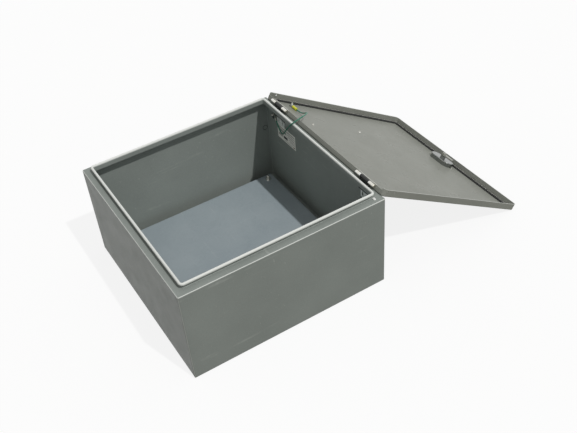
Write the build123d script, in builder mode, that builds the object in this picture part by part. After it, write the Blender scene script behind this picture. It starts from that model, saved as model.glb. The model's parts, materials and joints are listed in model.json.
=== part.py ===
from build123d import *
import math
import os

os.makedirs("parts", exist_ok=True)

# A wall or pole mounted sheet steel cabinet, lying on its back with its door swung right open.
# Millimetres. The origin is the centre of the back's outer face, and +Z points out of the opening.
# The hinges are on the +X side. In use -Y is the top.

# Body shell
body_width = 610.0
body_height = 610.0
body_depth = 305.0
body_sheet = 1.9
body_corner_r = 4.0
back_fold_r = 8.0
flange_fold_r = 2.5
wall_hole_pitch_x = 457.2
wall_hole_pitch_y = 457.2
wall_hole_r = 5.5

# Rain lip round the opening, hemmed outward at its top
lip_inset = 25.5
lip_height = 17.0
lip_foot_r = 2.5
lip_hem_gap = 3.2
lip_hem_drop = 3.3
lip_corner_r = 5.0

# Mounting panel on welded studs
panel_margin = 24.0
panel_sheet = 2.0
panel_edge = 12.0
panel_fold_r = 2.5
panel_front = 30.0
panel_stud_inset = 23.0
panel_stud_r = 4.0
panel_stud_length = 16.0
panel_collar_r = 8.0
panel_hole_r = 4.4
panel_nut_flats = 13.0
panel_nut_height = 8.0
panel_nut_flange_r = 8.6
panel_nut_flange = 2.0
nut_chamfer = 0.5
stud_chamfer = 0.6

# Door pan
door_margin = 9.5
door_sheet = 1.9
door_lift = 2.0
door_depth = 21.1
door_corner_r = 11.0
door_fold_r = 3.0
hinge_flange_relief = 6.4
flange_hole_r = 2.4
flange_hole_rise = 6.5
upper_hole_insets = (22.0, 51.0)
lower_hole_inset = 41.0

# Door gasket
gasket_width = 12.7
gasket_gap = 0.3
gasket_inset = 5.3
gasket_corner_r = 8.0
gasket_edge_r = 1.4

# Hinges
barrel_clearance = 0.5
pivot_rise = 13.4
hinge_end_inset = 86.0
hinge_length = 80.0
body_knuckle = 36.0
knuckle_gap = 0.5
barrel_r = 5.0
pin_r = 2.45
pin_clearance = 0.05
pin_head_r = 4.0
pin_head = 1.5
pin_tail = 1.0
leaf_thickness = 2.5
leaf_setback = 0.5
leaf_width = 54.0
leaf_bottom = 33.0
leaf_slot_clearance = 0.3
bracket_thickness = 2.0
bracket_width = 41.0
bracket_top = 5.0
bracket_length = 54.0
bracket_window_width = 6.0
bracket_window_height = 17.0
bracket_window_pitch = 22.0
bracket_window_rise = 3.5
bracket_eye_r = 2.6
door_plate_thickness = 2.0
door_plate_rise = 4.0
ear_thickness = 2.5
ear_window_clearance = 0.9
hinge_stud_r = 2.5
hinge_stud_pitch = 28.0
hinge_stud_depth = 15.0
hinge_stud_length = 10.5
hinge_hole_clearance = 0.25
hinge_nut_flats = 8.0
hinge_nut_height = 4.7
hinge_nut_flange_r = 5.9
hinge_nut_flange = 1.1

# Nuts fit on their threads with this much room, which the thread itself fills
thread_clearance = 0.1

# Quarter turn latch
latch_inset = 59.0
latch_y = 0.0
cup_length = 88.0
cup_width = 45.0
cup_wall = 2.0
cup_depth = 16.1
cup_clearance = 0.3
bezel_length = 112.0
bezel_width = 53.0
bezel_thickness = 2.0
seal_thickness = 1.0
boss_r = 9.0
boss_length = 9.2
latch_shaft_r = 4.0
latch_shaft_clearance = 0.05
latch_shaft_tail = 0.5
knob_disc_r = 8.0
knob_disc = 2.0
knob_bar_length = 34.0
knob_bar_width = 9.0
knob_height = 12.0
knob_edge_r = 1.8
knob_gap = 0.3
cam_thickness = 3.0
cam_gap = 0.4
cam_length = 42.0
cam_hub_r = 9.0
cam_tip_r = 5.5
latch_washer_r = 7.5
latch_washer_thickness = 0.8
latch_nut_flats = 13.0
latch_nut_height = 3.4
bezel_screw_r = 2.0
bezel_screw_pitch = 102.0
bezel_screw_head_r = 3.6
bezel_screw_head = 2.2
bezel_screw_head_edge_r = 1.1
bezel_screw_length = 9.0
bezel_screw_clearance = 0.05

# Bonding studs, lugs and wire
ground_stud_r = 3.0
ground_stud_length = 14.0
body_ground_gap = 15.5
body_ground_drop = 4.0
door_ground_inset_x = 78.0
door_ground_inset_y = 53.0
lug_r = 5.5
lug_thickness = 1.2
lug_barrel_r = 2.6
lug_barrel_reach = 20.0
lug_barrel_length = 10.0
lug_barrel_offset = 2.8
lug_neck_width = 4.4
lug_neck_overlap = 0.8
lug_turn = 29.0
lug_crimp = 2.0
ground_nut_flats = 10.0
ground_nut_height = 5.0
sleeve_r = 4.4
sleeve_start = 9.0
sleeve_length = 21.0
sleeve_lift = 4.9
wire_diameter = 3.8
wire_points = [
    (300.3, 245.3, 250.5),
    (300.3, 238.4, 238.05),
    (299, 227, 227),
    (296.8, 212, 223),
    (294.3, 197.5, 228.5),
    (291, 185, 240),
    (286.5, 169, 258),
    (281.5, 149, 280),
    (276.5, 129.5, 301),
    (273.2, 112.5, 318),
    (279, 101.5, 331.5),
    (296, 98.5, 338.5),
    (315, 104, 338),
    (336, 120, 328.5),
    (353, 142, 313),
    (361, 163, 297.5),
    (362.61, 184, 284.3),
    (362.61, 203.5, 277.31),
    (362.61, 222, 277.31),
]

# Small pieces
weld_stud_insets = ((80.8, 174.4), (286.1, 168.7))
weld_stud_r = 2.0
weld_stud_length = 3.0
label_inset = 163.0
label_drop = 113.0
label_width = 102.0
label_height = 52.0
label_thickness = 0.3
plug_inset_x = 25.0
plug_inset_y = 16.5
plug_length = 11.0
plug_width = 7.0
plug_rise = 2.2
plug_shank = 5.0
plug_shank_inset = 0.8
plug_shank_clearance = 0.08
plug_edge_r = 1.2

# Faces worked out from the sizes above
body_half_x = body_width / 2
body_half_y = body_height / 2
wall_inner_x = body_half_x - body_sheet
wall_inner_y = body_half_y - body_sheet
flange_inner_z = body_depth - body_sheet
panel_width = body_width - 2 * panel_margin
panel_height = body_height - 2 * panel_margin
opening_half_x = body_half_x - lip_inset
opening_half_y = body_half_y - lip_inset
hem_width = 2 * body_sheet + lip_hem_gap
door_half_x = body_half_x - door_margin
door_half_y = body_half_y - door_margin
rim_z = body_depth + door_lift
skin_z = rim_z + door_depth
skin_inner_z = skin_z - door_sheet
flange_inner_x = door_half_x - door_sheet
hinge_y_out = body_half_y - hinge_end_inset
hinge_places = {"upper": -hinge_y_out, "lower": hinge_y_out}
hinge_rim_z = rim_z + hinge_flange_relief
latch_x = latch_inset - body_half_x
panel_back = panel_front - panel_sheet
stud_half_x = panel_width / 2 - panel_stud_inset
stud_half_y = panel_height / 2 - panel_stud_inset
pivot_x = door_half_x + barrel_r + barrel_clearance
pivot_z = body_depth + pivot_rise
pivot = Vector(pivot_x, 0, pivot_z)
hinge_bore_r = pin_r + pin_clearance
leaf_out_x = pivot_x - (barrel_r - leaf_setback)
bracket_face_x = wall_inner_x - bracket_thickness
leaf_face_x = bracket_face_x - leaf_thickness
door_knuckle = (hinge_length - body_knuckle) / 2 - knuckle_gap
door_knuckle_centre = (hinge_length - door_knuckle) / 2
body_ground_y = hinge_y_out + bracket_width / 2 + body_ground_gap
body_ground_z = body_depth - leaf_bottom - body_ground_drop
door_ground_x = body_half_x - door_ground_inset_x
door_ground_y = body_half_y - door_ground_inset_y
plug_place = (body_half_x - plug_inset_x, plug_inset_y - body_half_y)
lug_neck_start = lug_r - lug_neck_overlap

# The open door rests its free edge's fold on the plane that the cabinet lies on.
rest_reach = pivot_x + door_half_x - door_fold_r
rest_drop = skin_z - door_fold_r - pivot_z
rest_angle = math.asin((pivot_z - door_fold_r) / math.hypot(rest_reach, rest_drop))
door_open_angle = 180 + math.degrees(rest_angle - math.atan2(rest_drop, rest_reach))
print("door open angle", round(door_open_angle, 2))


def on_open_door(plane):
    # A plane drawn on the closed door, turned about the hinge axis to the open door.
    origin = pivot + (plane.origin - pivot).rotate(Axis.Y, door_open_angle)
    return Plane(
        origin,
        x_dir=plane.x_dir.rotate(Axis.Y, door_open_angle),
        z_dir=plane.z_dir.rotate(Axis.Y, door_open_angle),
    )


door_outward = Axis(on_open_door(Plane.XY).origin, on_open_door(Plane.XY).z_dir)


def folded_box(width, height, low, high, corner_r, fold_r):
    # A block with rounded upright corners and rounded edges round its lower face.
    with BuildPart() as block:
        with BuildSketch(Plane.XY.offset(low)):
            RectangleRounded(width, height, corner_r)
        extrude(amount=high - low)
        for side, span in ((Plane.XZ, width), (Plane.YZ, height)):
            with BuildSketch(side) as profile:
                with Locations((0, (low + high) / 2)):
                    Rectangle(span, high - low)
                fillet(profile.vertices().group_by(Axis.Y)[0], radius=fold_r)
            extrude(amount=width + height, both=True, mode=Mode.INTERSECT)
    return block.part


def hex_nut(plane, flats, height, bore_r, flange_r=0, flange=0):
    # A hexagon nut that stands on a plane, with a washer flange where it has one.
    with BuildPart() as nut:
        with BuildSketch(plane):
            RegularPolygon(flats / 2, 6, major_radius=False)
        extrude(amount=height)
        crown = nut.faces().sort_by(Axis(plane.origin, plane.z_dir))[-1]
        chamfer(crown.edges(), length=nut_chamfer)
        if flange > 0:
            with BuildSketch(plane):
                Circle(flange_r)
            extrude(amount=flange)
        with BuildSketch(plane):
            Circle(bore_r)
        extrude(amount=height, mode=Mode.SUBTRACT)
    return nut.part


def save(solid, name):
    solid.label = name
    export_step(solid, "parts/" + name + ".step")


# The lip's hemmed section, swept round the opening from the start of one of its corners.
with BuildSketch(Plane.XY.offset(body_depth)) as opening_outline:
    RectangleRounded(2 * opening_half_x, 2 * opening_half_y, lip_corner_r)
opening_path = opening_outline.sketch.face().outer_wire()
path_start = opening_path.position_at(0)
path_direction = opening_path.tangent_at(0)
outward = path_direction.cross(Vector(0, 0, 1))
if outward.dot(path_start - Vector(0, 0, body_depth)) < 0:
    outward = -outward
section_plane = Plane(path_start, x_dir=outward, z_dir=outward.cross(Vector(0, 0, 1)))

with BuildPart() as lip:
    hem_centre = lip_height - hem_width / 2
    with BuildSketch(section_plane) as lip_section:
        with BuildLine():
            Line((0, 0), (0, hem_centre))
            ThreePointArc((0, hem_centre), (hem_width / 2, lip_height), (hem_width, hem_centre))
            Line((hem_width, hem_centre), (hem_width, hem_centre - lip_hem_drop))
            Line((hem_width, hem_centre - lip_hem_drop),
                 (hem_width - body_sheet, hem_centre - lip_hem_drop))
            Line((hem_width - body_sheet, hem_centre - lip_hem_drop),
                 (hem_width - body_sheet, hem_centre))
            ThreePointArc((hem_width - body_sheet, hem_centre),
                          (hem_width / 2, hem_centre + lip_hem_gap / 2),
                          (body_sheet, hem_centre))
            Line((body_sheet, hem_centre), (body_sheet, lip_foot_r))
            RadiusArc((body_sheet, lip_foot_r), (body_sheet + lip_foot_r, 0), lip_foot_r)
            Line((body_sheet + lip_foot_r, 0), (0, 0))
        make_face()
    sweep(path=opening_path)

# Body shell: back, four walls, front flange and lip in one welded sheet piece.
with BuildPart() as body_shell:
    add(folded_box(body_width, body_height, 0, body_depth, body_corner_r, back_fold_r))
    front = body_shell.faces().sort_by(Axis.Z)[-1]
    fillet(front.edges(), radius=flange_fold_r)
    add(
        folded_box(
            2 * wall_inner_x,
            2 * wall_inner_y,
            body_sheet,
            flange_inner_z,
            body_corner_r - body_sheet,
            back_fold_r - body_sheet,
        ),
        mode=Mode.SUBTRACT,
    )
    with BuildSketch(Plane.XY.offset(flange_inner_z)):
        RectangleRounded(2 * opening_half_x, 2 * opening_half_y, lip_corner_r)
    extrude(amount=body_sheet, mode=Mode.SUBTRACT)
    add(lip.part)
    with BuildSketch(Plane.XY):
        with GridLocations(wall_hole_pitch_x, wall_hole_pitch_y, 2, 2):
            Circle(wall_hole_r)
    extrude(amount=body_sheet, mode=Mode.SUBTRACT)
    with BuildSketch(Plane.XY.offset(flange_inner_z)):
        for hinge_y in hinge_places.values():
            with Locations((leaf_out_x + leaf_thickness / 2, hinge_y)):
                Rectangle(
                    leaf_thickness + 2 * leaf_slot_clearance,
                    body_knuckle + 2 * leaf_slot_clearance,
                )
        with Locations(plug_place):
            SlotOverall(
                plug_length - 2 * plug_shank_inset,
                plug_width - 2 * plug_shank_inset,
                rotation=90,
            )
    extrude(amount=body_sheet, mode=Mode.SUBTRACT)
save(body_shell.part, "body_shell")

# Panel studs: four threaded studs on collars welded to the back.
with BuildPart() as panel_studs:
    with BuildSketch(Plane.XY.offset(body_sheet)):
        with GridLocations(2 * stud_half_x, 2 * stud_half_y, 2, 2):
            Circle(panel_collar_r)
    extrude(amount=panel_back - body_sheet)
    with BuildSketch(Plane.XY.offset(panel_back)):
        with GridLocations(2 * stud_half_x, 2 * stud_half_y, 2, 2):
            Circle(panel_stud_r)
    extrude(amount=panel_sheet + panel_stud_length)
    stud_ends = panel_studs.faces().group_by(Axis.Z)[-1]
    chamfer(stud_ends.edges(), length=stud_chamfer)
save(panel_studs.part, "panel_studs")

# Mounting panel: a flat plate with its four edges folded back.
with BuildPart() as mounting_panel:
    with BuildSketch(Plane.XY.offset(panel_front)):
        Rectangle(panel_width, panel_height)
    extrude(amount=-(panel_edge + panel_sheet))
    fillet(mounting_panel.faces().sort_by(Axis.Z)[-1].edges(), radius=panel_fold_r)
    with BuildSketch(Plane.XY.offset(panel_back)):
        Rectangle(panel_width - 2 * panel_sheet, panel_height - 2 * panel_sheet)
    extrude(amount=-panel_edge, mode=Mode.SUBTRACT)
    with BuildSketch(Plane.XY.offset(panel_front)):
        with GridLocations(2 * stud_half_x, 2 * stud_half_y, 2, 2):
            Circle(panel_hole_r)
    extrude(amount=-panel_sheet, mode=Mode.SUBTRACT)
save(mounting_panel.part, "mounting_panel")

# Panel nuts: flanged nuts on the four studs.
with BuildPart() as panel_nuts:
    for stud in GridLocations(2 * stud_half_x, 2 * stud_half_y, 2, 2):
        seat = Plane((stud.position.X, stud.position.Y, panel_front))
        add(
            hex_nut(
                seat,
                panel_nut_flats,
                panel_nut_height,
                panel_stud_r + thread_clearance,
                panel_nut_flange_r,
                panel_nut_flange,
            )
        )
save(panel_nuts.part, "panel_nuts")


def pan_block(width, height, low, high, corner_r, fold_r):
    # A block on the open door, with rounded corners and rounded edges at the skin.
    with BuildPart() as block:
        with BuildSketch(on_open_door(Plane.XY.offset(low))):
            RectangleRounded(width, height, corner_r)
        extrude(amount=high - low)
        fillet(block.faces().sort_by(door_outward)[-1].edges(), radius=fold_r)
    return block.part


# Door shell: a flat pan with a folded flange, windows for the hinge ears and the latch opening.
with BuildPart() as door_shell:
    add(pan_block(2 * door_half_x, 2 * door_half_y, rim_z, skin_z, door_corner_r, door_fold_r))
    add(
        pan_block(
            2 * (door_half_x - door_sheet),
            2 * (door_half_y - door_sheet),
            rim_z,
            skin_inner_z,
            door_corner_r - door_sheet,
            door_fold_r - door_sheet,
        ),
        mode=Mode.SUBTRACT,
    )
    with BuildSketch(on_open_door(Plane.YZ.offset(door_half_x))):
        for hinge_y in hinge_places.values():
            with Locations(
                (hinge_y - door_knuckle_centre, pivot_z),
                (hinge_y + door_knuckle_centre, pivot_z),
            ):
                Rectangle(
                    door_knuckle + 2 * knuckle_gap,
                    ear_thickness + 2 * ear_window_clearance,
                )
        with Locations((0, (rim_z + hinge_rim_z) / 2)):
            Rectangle(2 * (door_half_y - door_corner_r), hinge_flange_relief)
    extrude(amount=-door_sheet, mode=Mode.SUBTRACT)
    with BuildSketch(on_open_door(Plane.XY.offset(skin_inner_z))):
        with Locations((latch_x, latch_y)):
            SlotOverall(cup_length + 2 * cup_clearance, cup_width + 2 * cup_clearance, rotation=90)
        with Locations(
            (latch_x, latch_y - bezel_screw_pitch / 2),
            (latch_x, latch_y + bezel_screw_pitch / 2),
        ):
            Circle(bezel_screw_r + bezel_screw_clearance)
    extrude(amount=door_sheet, mode=Mode.SUBTRACT)
    with BuildSketch(on_open_door(Plane.XZ.offset(door_half_y))):
        with Locations(*[(body_half_x - inset, rim_z + flange_hole_rise) for inset in upper_hole_insets]):
            Circle(flange_hole_r)
    extrude(amount=-door_sheet, mode=Mode.SUBTRACT)
    with BuildSketch(on_open_door(Plane.XZ.offset(-door_half_y))):
        with Locations((body_half_x - lower_hole_inset, rim_z + flange_hole_rise)):
            Circle(flange_hole_r)
    extrude(amount=door_sheet, mode=Mode.SUBTRACT)
save(door_shell.part, "door_shell")

# Door gasket: a foam rubber ring inside the flange, which meets the lip.
gasket_half_x = door_half_x - gasket_inset
gasket_half_y = door_half_y - gasket_inset
with BuildPart() as door_gasket:
    gasket_front = body_depth + lip_height + gasket_gap
    with BuildSketch(on_open_door(Plane.XY.offset(gasket_front))):
        RectangleRounded(2 * gasket_half_x, 2 * gasket_half_y, gasket_corner_r)
        RectangleRounded(
            2 * (gasket_half_x - gasket_width),
            2 * (gasket_half_y - gasket_width),
            gasket_corner_r / 2,
            mode=Mode.SUBTRACT,
        )
    extrude(amount=skin_inner_z - gasket_front)
    gasket_face = door_gasket.faces().filter_by(door_outward).sort_by(door_outward)[0]
    fillet(gasket_face.edges(), radius=gasket_edge_r)
save(door_gasket.part, "door_gasket")

# Hinges: a body leaf with the middle knuckle, a door leaf with the end knuckles, and a pin.
for place, hinge_y in hinge_places.items():
    with BuildPart() as hinge_leaf_body:
        with BuildSketch(Plane.XZ.offset(-hinge_y)):
            with Locations((pivot_x, pivot_z)):
                Circle(barrel_r)
            with Locations((leaf_out_x + leaf_thickness / 2, (pivot_z + flange_inner_z) / 2)):
                Rectangle(leaf_thickness, pivot_z - flange_inner_z)
        extrude(amount=body_knuckle / 2, both=True)
        with BuildSketch(Plane.XZ.offset(-hinge_y)):
            with BuildLine():
                joggle = leaf_face_x - leaf_out_x
                Polyline(
                    (leaf_out_x, flange_inner_z),
                    (leaf_out_x, flange_inner_z - leaf_thickness / 2),
                    (leaf_face_x, flange_inner_z - leaf_thickness / 2 - joggle),
                    (leaf_face_x, body_depth - leaf_bottom),
                    (bracket_face_x, body_depth - leaf_bottom),
                    (bracket_face_x, flange_inner_z - joggle - leaf_thickness / 4),
                    (leaf_out_x + leaf_thickness, flange_inner_z - leaf_thickness / 4),
                    (leaf_out_x + leaf_thickness, flange_inner_z),
                    close=True,
                )
            make_face()
        extrude(amount=leaf_width / 2, both=True)
        with BuildSketch(Plane.XZ.offset(-hinge_y)):
            with Locations((pivot_x, pivot_z)):
                Circle(hinge_bore_r)
        extrude(amount=hinge_length, both=True, mode=Mode.SUBTRACT)
        with BuildSketch(Plane.YZ.offset(bracket_face_x)):
            with Locations(
                (hinge_y - hinge_stud_pitch / 2, body_depth - hinge_stud_depth),
                (hinge_y + hinge_stud_pitch / 2, body_depth - hinge_stud_depth),
            ):
                Circle(hinge_stud_r + hinge_hole_clearance)
        extrude(amount=-leaf_thickness, mode=Mode.SUBTRACT)
    save(hinge_leaf_body.part, "hinge_leaf_body_" + place)

    with BuildPart() as hinge_bracket:
        bracket_centre = body_depth - bracket_top - bracket_length / 2
        window_low = body_depth - bracket_top - bracket_length + bracket_window_rise
        window_centre = window_low + bracket_window_height / 2
        with BuildSketch(Plane.YZ.offset(bracket_face_x)):
            with Locations((hinge_y, bracket_centre)):
                Rectangle(bracket_width, bracket_length)
            with Locations(
                (hinge_y - bracket_window_pitch / 2, window_centre),
                (hinge_y + bracket_window_pitch / 2, window_centre),
            ):
                Rectangle(bracket_window_width, bracket_window_height, mode=Mode.SUBTRACT)
            with Locations((hinge_y, window_centre)):
                Circle(bracket_eye_r, mode=Mode.SUBTRACT)
            with Locations(
                (hinge_y - hinge_stud_pitch / 2, body_depth - hinge_stud_depth),
                (hinge_y + hinge_stud_pitch / 2, body_depth - hinge_stud_depth),
            ):
                Circle(hinge_stud_r + hinge_hole_clearance, mode=Mode.SUBTRACT)
        extrude(amount=bracket_thickness)
    save(hinge_bracket.part, "hinge_bracket_" + place)

    with BuildPart() as hinge_leaf_door:
        plate_x = flange_inner_x - door_plate_thickness
        plate_top = pivot_z + door_plate_rise
        with BuildSketch(on_open_door(Plane.XZ.offset(-hinge_y))):
            with Locations((plate_x + door_plate_thickness / 2, (plate_top + hinge_rim_z) / 2)):
                Rectangle(door_plate_thickness, plate_top - hinge_rim_z)
        extrude(amount=hinge_length / 2, both=True)
        for side in (-1, 1):
            with BuildSketch(on_open_door(Plane.XZ.offset(-hinge_y - side * door_knuckle_centre))):
                with Locations((pivot_x, pivot_z)):
                    Circle(barrel_r)
                with Locations(((plate_x + pivot_x) / 2, pivot_z)):
                    Rectangle(pivot_x - plate_x, ear_thickness)
                with Locations((pivot_x, pivot_z)):
                    Circle(hinge_bore_r, mode=Mode.SUBTRACT)
            extrude(amount=door_knuckle / 2, both=True)
    save(hinge_leaf_door.part, "hinge_leaf_door_" + place)

    with BuildPart() as hinge_pin:
        with BuildSketch(Plane.XZ.offset(-hinge_y + hinge_length / 2)):
            with Locations((pivot_x, pivot_z)):
                Circle(pin_r)
        extrude(amount=-(hinge_length + pin_tail))
        with BuildSketch(Plane.XZ.offset(-hinge_y + hinge_length / 2)):
            with Locations((pivot_x, pivot_z)):
                Circle(pin_head_r)
        extrude(amount=pin_head)
    save(hinge_pin.part, "hinge_pin_" + place)

# Hinge studs and nuts: two welded studs through each bracket and body leaf.
stud_places = []
for hinge_y in hinge_places.values():
    for side in (-1, 1):
        stud_places.append((hinge_y + side * hinge_stud_pitch / 2, body_depth - hinge_stud_depth))

with BuildPart() as hinge_studs:
    with BuildSketch(Plane.YZ.offset(wall_inner_x)):
        with Locations(*stud_places):
            Circle(hinge_stud_r)
    extrude(amount=-hinge_stud_length)
    chamfer(
        hinge_studs.faces().group_by(Axis.X)[0].edges(),
        length=stud_chamfer,
    )
save(hinge_studs.part, "hinge_studs")

with BuildPart() as hinge_nuts:
    for stud_y, stud_z in stud_places:
        seat = Plane((leaf_face_x, stud_y, stud_z), x_dir=(0, 1, 0), z_dir=(-1, 0, 0))
        add(
            hex_nut(
                seat,
                hinge_nut_flats,
                hinge_nut_height,
                hinge_stud_r + thread_clearance,
                hinge_nut_flange_r,
                hinge_nut_flange,
            )
        )
save(hinge_nuts.part, "hinge_nuts")

# Latch housing: an oval cup let into the door, with a bezel outside and a shaft boss inside.
cup_back_z = skin_z - cup_depth
bezel_z = skin_z + seal_thickness
latch_axis_plane = Plane((latch_x, latch_y, 0))


def latch_plane(height):
    return on_open_door(latch_axis_plane.offset(height))


with BuildPart() as latch_housing:
    with BuildSketch(latch_plane(cup_back_z)):
        SlotOverall(cup_length, cup_width, rotation=90)
    extrude(amount=bezel_z - cup_back_z)
    fillet(
        latch_housing.faces().sort_by(door_outward)[0].edges(),
        radius=cup_wall,
    )
    with BuildSketch(latch_plane(bezel_z)):
        SlotOverall(bezel_length, bezel_width, rotation=90)
    extrude(amount=bezel_thickness)
    with BuildSketch(latch_plane(cup_back_z + cup_wall)):
        SlotOverall(cup_length - 2 * cup_wall, cup_width - 2 * cup_wall, rotation=90)
    extrude(amount=cup_depth + seal_thickness + bezel_thickness - cup_wall, mode=Mode.SUBTRACT)
    with BuildSketch(latch_plane(cup_back_z)):
        Circle(boss_r)
    extrude(amount=-boss_length)
    with BuildSketch(latch_plane(cup_back_z + cup_wall)):
        Circle(latch_shaft_r + latch_shaft_clearance)
    extrude(amount=-(cup_wall + boss_length), mode=Mode.SUBTRACT)
    with BuildSketch(latch_plane(bezel_z)):
        with Locations((0, -bezel_screw_pitch / 2), (0, bezel_screw_pitch / 2)):
            Circle(bezel_screw_r + bezel_screw_clearance)
    extrude(amount=bezel_thickness, mode=Mode.SUBTRACT)
save(latch_housing.part, "latch_housing")

# Latch seal: a flat rubber ring between the bezel and the skin.
with BuildPart() as latch_seal:
    with BuildSketch(latch_plane(skin_z)):
        SlotOverall(bezel_length, bezel_width, rotation=90)
        SlotOverall(
            cup_length + 2 * cup_clearance,
            cup_width + 2 * cup_clearance,
            rotation=90,
            mode=Mode.SUBTRACT,
        )
        with Locations((0, -bezel_screw_pitch / 2), (0, bezel_screw_pitch / 2)):
            Circle(bezel_screw_r + bezel_screw_clearance, mode=Mode.SUBTRACT)
    extrude(amount=seal_thickness)
save(latch_seal.part, "latch_seal")

# Latch screws: two pan head screws through the bezel into the skin.
with BuildPart() as latch_screws:
    bezel_top = bezel_z + bezel_thickness
    with BuildSketch(latch_plane(bezel_top)):
        with Locations((0, -bezel_screw_pitch / 2), (0, bezel_screw_pitch / 2)):
            Circle(bezel_screw_head_r)
    extrude(amount=bezel_screw_head)
    fillet(
        latch_screws.faces().group_by(door_outward)[-1].edges(),
        radius=bezel_screw_head_edge_r,
    )
    with BuildSketch(latch_plane(bezel_top)):
        with Locations((0, -bezel_screw_pitch / 2), (0, bezel_screw_pitch / 2)):
            Circle(bezel_screw_r)
    extrude(amount=-bezel_screw_length)
save(latch_screws.part, "latch_screws")

# Latch shaft, cam, washer, nut and wing knob, which turn together.
knob_seat_z = cup_back_z + cup_wall + knob_gap
cam_top_z = cup_back_z - boss_length - cam_gap
cam_bottom_z = cam_top_z - cam_thickness
washer_bottom_z = cam_bottom_z - latch_washer_thickness
nut_bottom_z = washer_bottom_z - latch_nut_height
with BuildPart() as latch_shaft:
    with BuildSketch(latch_plane(knob_seat_z)):
        Circle(latch_shaft_r)
    extrude(amount=-(knob_seat_z - nut_bottom_z + latch_shaft_tail))
save(latch_shaft.part, "latch_shaft")

with BuildPart() as latch_cam:
    with BuildSketch(latch_plane(cam_bottom_z)):
        Circle(cam_hub_r)
        with Locations((0, cam_tip_r - cam_length)):
            Circle(cam_tip_r)
        make_hull()
        Circle(latch_shaft_r + thread_clearance, mode=Mode.SUBTRACT)
    extrude(amount=cam_thickness)
save(latch_cam.part, "latch_cam")

with BuildPart() as latch_washer:
    with BuildSketch(latch_plane(washer_bottom_z)):
        Circle(latch_washer_r)
        Circle(latch_shaft_r + thread_clearance, mode=Mode.SUBTRACT)
    extrude(amount=latch_washer_thickness)
save(latch_washer.part, "latch_washer")

with BuildPart() as latch_nut:
    nut_seat = latch_plane(washer_bottom_z)
    add(
        hex_nut(
            Plane(nut_seat.origin, x_dir=nut_seat.x_dir, z_dir=-nut_seat.z_dir),
            latch_nut_flats,
            latch_nut_height,
            latch_shaft_r + thread_clearance,
        )
    )
save(latch_nut.part, "latch_nut")

with BuildPart() as latch_handle:
    with BuildSketch(latch_plane(knob_seat_z)):
        Circle(knob_disc_r)
    extrude(amount=knob_disc)
    with BuildSketch(latch_plane(knob_seat_z)):
        SlotOverall(knob_bar_length, knob_bar_width, rotation=90)
    extrude(amount=knob_height)
    fillet(
        latch_handle.faces().sort_by(door_outward)[-1].edges(),
        radius=knob_edge_r,
    )
save(latch_handle.part, "latch_handle")

# Door ground stud, nut, terminal and sleeve.
ground_plane = on_open_door(Plane((door_ground_x, door_ground_y, skin_inner_z), z_dir=(0, 0, -1)))
with BuildPart() as door_ground_stud:
    with BuildSketch(ground_plane):
        Circle(ground_stud_r)
    extrude(amount=ground_stud_length)
save(door_ground_stud.part, "door_ground_stud")

with BuildPart() as door_ground_terminal:
    with BuildSketch(ground_plane):
        Circle(lug_r)
        Circle(ground_stud_r + thread_clearance, mode=Mode.SUBTRACT)
    extrude(amount=lug_thickness)
    neck_low = door_ground_y - sleeve_start
    neck_high = door_ground_y - lug_neck_start
    with BuildSketch(on_open_door(Plane.XZ.offset(-neck_low))):
        with Locations((door_ground_x, skin_inner_z - lug_thickness / 2)):
            Rectangle(lug_neck_width, lug_thickness)
    extrude(amount=-(neck_high - neck_low))
    with BuildSketch(on_open_door(Plane.XZ.offset(-neck_low))):
        with Locations((door_ground_x, skin_inner_z - sleeve_lift / 2 - lug_thickness)):
            Rectangle(lug_neck_width, sleeve_lift + 2 * lug_thickness)
    extrude(amount=-lug_crimp)
save(door_ground_terminal.part, "door_ground_terminal")

with BuildPart() as door_ground_nut:
    seat = Plane(
        ground_plane.origin + ground_plane.z_dir * lug_thickness,
        x_dir=ground_plane.x_dir,
        z_dir=ground_plane.z_dir,
    )
    add(hex_nut(seat, ground_nut_flats, ground_nut_height, ground_stud_r + thread_clearance))
save(door_ground_nut.part, "door_ground_nut")

with BuildPart() as terminal_sleeve:
    with BuildSketch(on_open_door(Plane.XZ.offset(-(door_ground_y - sleeve_start)))):
        with Locations((door_ground_x, skin_inner_z - sleeve_lift)):
            Circle(sleeve_r)
    extrude(amount=sleeve_length)
save(terminal_sleeve.part, "terminal_sleeve")

# Body ground stud, lug and nut on the hinge side wall.
lug_turned = Vector(0, 1, 0).rotate(Axis.X, -lug_turn)
wall_plane = Plane((wall_inner_x, body_ground_y, body_ground_z), x_dir=lug_turned, z_dir=(-1, 0, 0))
with BuildPart() as body_ground_stud:
    with BuildSketch(wall_plane):
        Circle(ground_stud_r)
    extrude(amount=ground_stud_length)
save(body_ground_stud.part, "body_ground_stud")

with BuildPart() as body_ground_lug:
    with BuildSketch(wall_plane):
        Circle(lug_r)
        Circle(ground_stud_r + thread_clearance, mode=Mode.SUBTRACT)
    extrude(amount=lug_thickness)
    barrel_start = lug_barrel_reach - lug_barrel_length
    with BuildSketch(wall_plane):
        with Locations((0, (barrel_start + lug_neck_start) / 2)):
            Rectangle(lug_neck_width, barrel_start - lug_neck_start)
    extrude(amount=lug_thickness)
    barrel_origin = (
        wall_plane.origin
        + wall_plane.y_dir * barrel_start
        + wall_plane.z_dir * lug_barrel_offset
    )
    with BuildSketch(Plane(barrel_origin, z_dir=wall_plane.y_dir)):
        Circle(lug_barrel_r)
    extrude(amount=lug_barrel_length)
save(body_ground_lug.part, "body_ground_lug")

with BuildPart() as body_ground_nut:
    seat = wall_plane.offset(lug_thickness)
    add(hex_nut(seat, ground_nut_flats, ground_nut_height, ground_stud_r + thread_clearance))
save(body_ground_nut.part, "body_ground_nut")

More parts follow.
